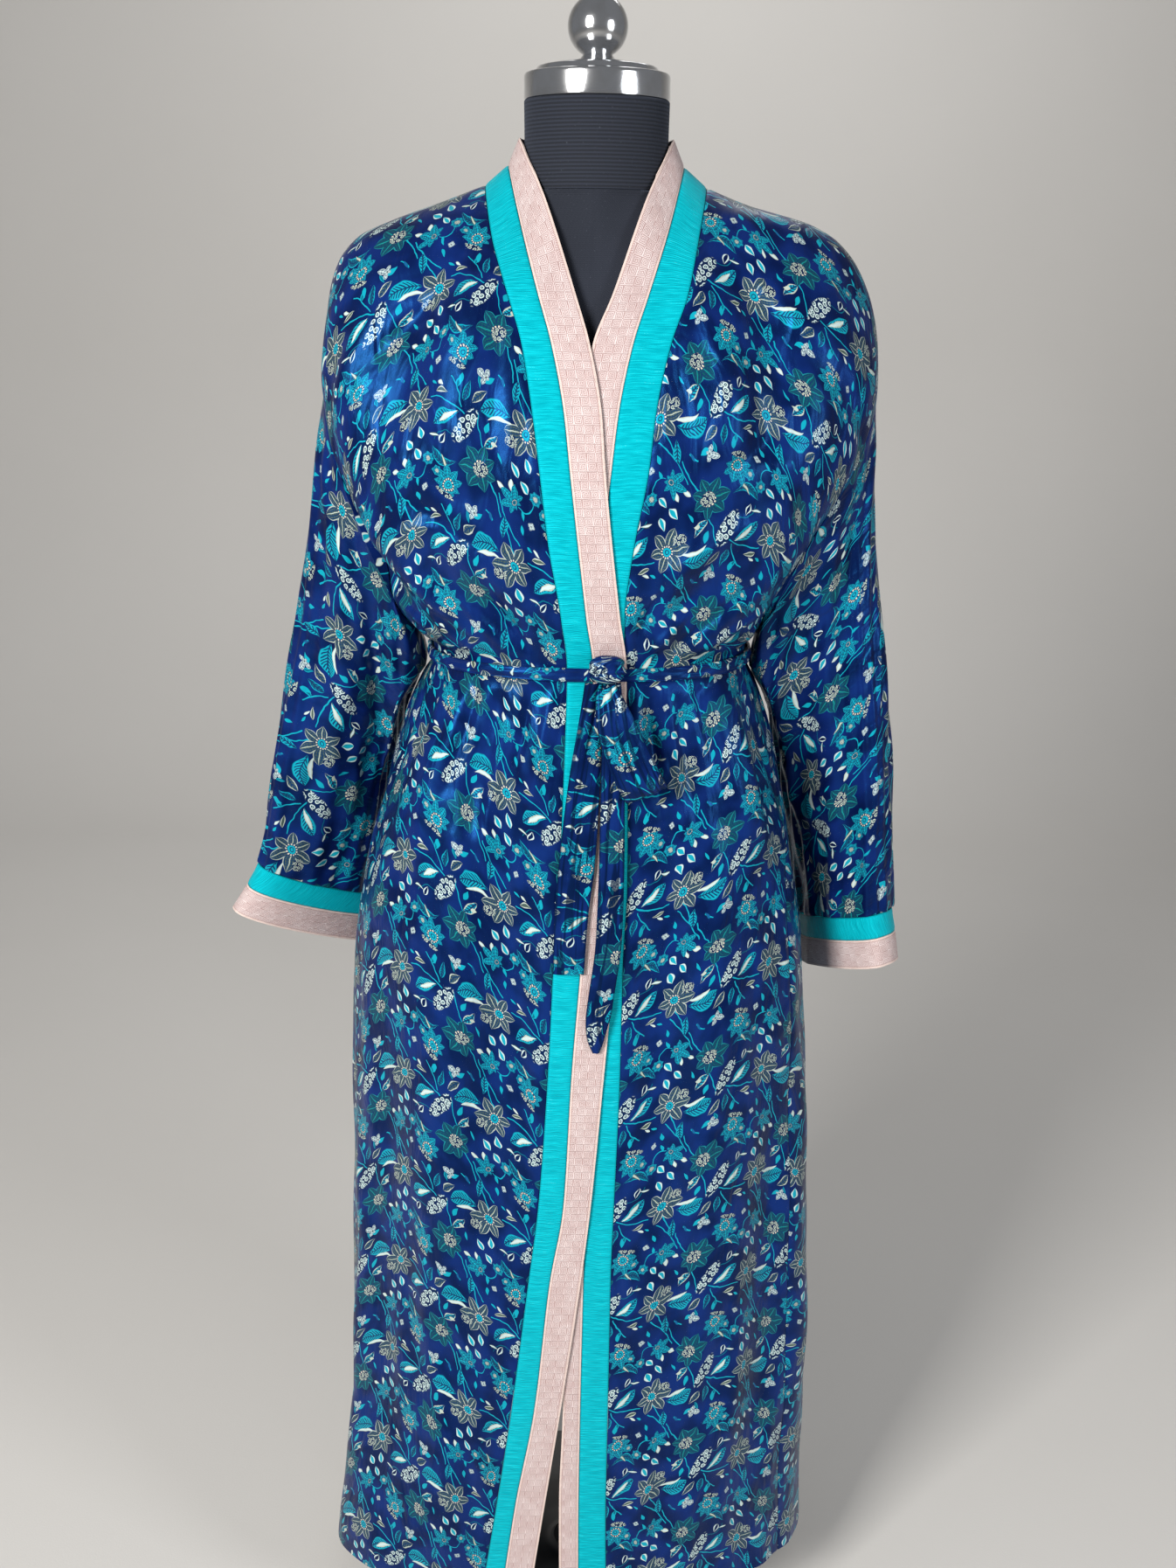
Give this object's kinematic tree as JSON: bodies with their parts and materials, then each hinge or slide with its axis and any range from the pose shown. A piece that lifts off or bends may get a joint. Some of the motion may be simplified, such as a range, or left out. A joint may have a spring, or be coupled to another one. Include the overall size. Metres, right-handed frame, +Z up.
{
  "type": "kimono robe on dress form",
  "caption": "Long belted kimono robe of printed satin, with contrasting front and sleeve borders, worn open-necked on a limbless dress form with a capped neck, pole and round base.",
  "frame": {"origin": "on the floor under the middle of the round base, which is the point of the foot mount", "axes": "+Z up; -Y is the way the robe faces; +X towards the wearer's left"},
  "size_m": [0.6516, 0.38, 1.5936],
  "materials": {
    "printed_satin": "satin",
    "turquoise_silk": "satin",
    "pink_brocade": "satin",
    "form_jersey": "matt",
    "chrome": "polished",
    "stand_metal": "satin black"
  },
  "bodies": {
    "root": {"back_panel": "printed_satin", "front_panel_right": "printed_satin", "front_panel_left": "printed_satin", "sleeve_right": "printed_satin", "sleeve_left": "printed_satin", "front_border_turquoise_right": "turquoise_silk", "front_border_turquoise_left": "turquoise_silk", "cuff_turquoise_right": "turquoise_silk", "cuff_turquoise_left": "turquoise_silk", "front_border_brocade_right": "pink_brocade", "front_border_brocade_left": "pink_brocade", "cuff_brocade_right": "pink_brocade", "cuff_brocade_left": "pink_brocade", "belt_waist": "printed_satin", "belt_knot": "printed_satin", "belt_loop": "printed_satin", "belt_tail_right": "printed_satin", "belt_tail_left": "printed_satin", "form_torso": "form_jersey", "form_neck": "form_jersey", "neck_cap": "chrome", "ball_finial": "chrome", "pole": "stand_metal", "base": "stand_metal"}
  },
  "joints": []
}
